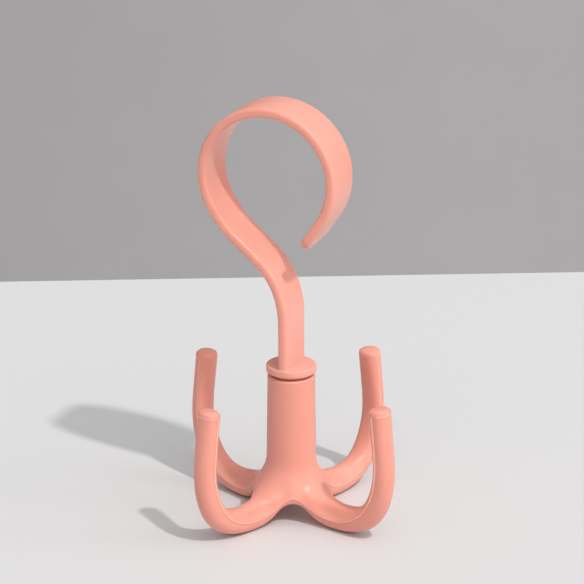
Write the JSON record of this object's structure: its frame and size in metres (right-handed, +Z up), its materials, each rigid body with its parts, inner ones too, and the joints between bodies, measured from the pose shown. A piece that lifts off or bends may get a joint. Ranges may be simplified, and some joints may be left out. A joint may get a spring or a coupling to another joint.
{
  "type": "rotating multi hook hanger",
  "caption": "Stand-up plastic hanger with up-turned claws round a hollow post and a flat swivelling hook on top, for bags, belts and scarves.",
  "frame": {"origin": "on the swivel axis, at the level of the surface that the claws stand on", "axes": "+Z up along the swivel axis; the hook lies in the XZ plane with its open tip on the +X side"},
  "size_m": [0.0998, 0.0998, 0.1651],
  "materials": {
    "coral_base_plastic": "satin",
    "coral_hook_plastic": "satin"
  },
  "bodies": {
    "base": {"claw_base": "coral_base_plastic"},
    "hook": {"swivel_hook": "coral_hook_plastic"}
  },
  "joints": [
    {"name": "hook_swivel", "type": "hinge", "parent": "base", "child": "hook", "pos_m": [0, 0, 0.0569], "axis": [0, 0, 1], "continuous": true}
  ]
}
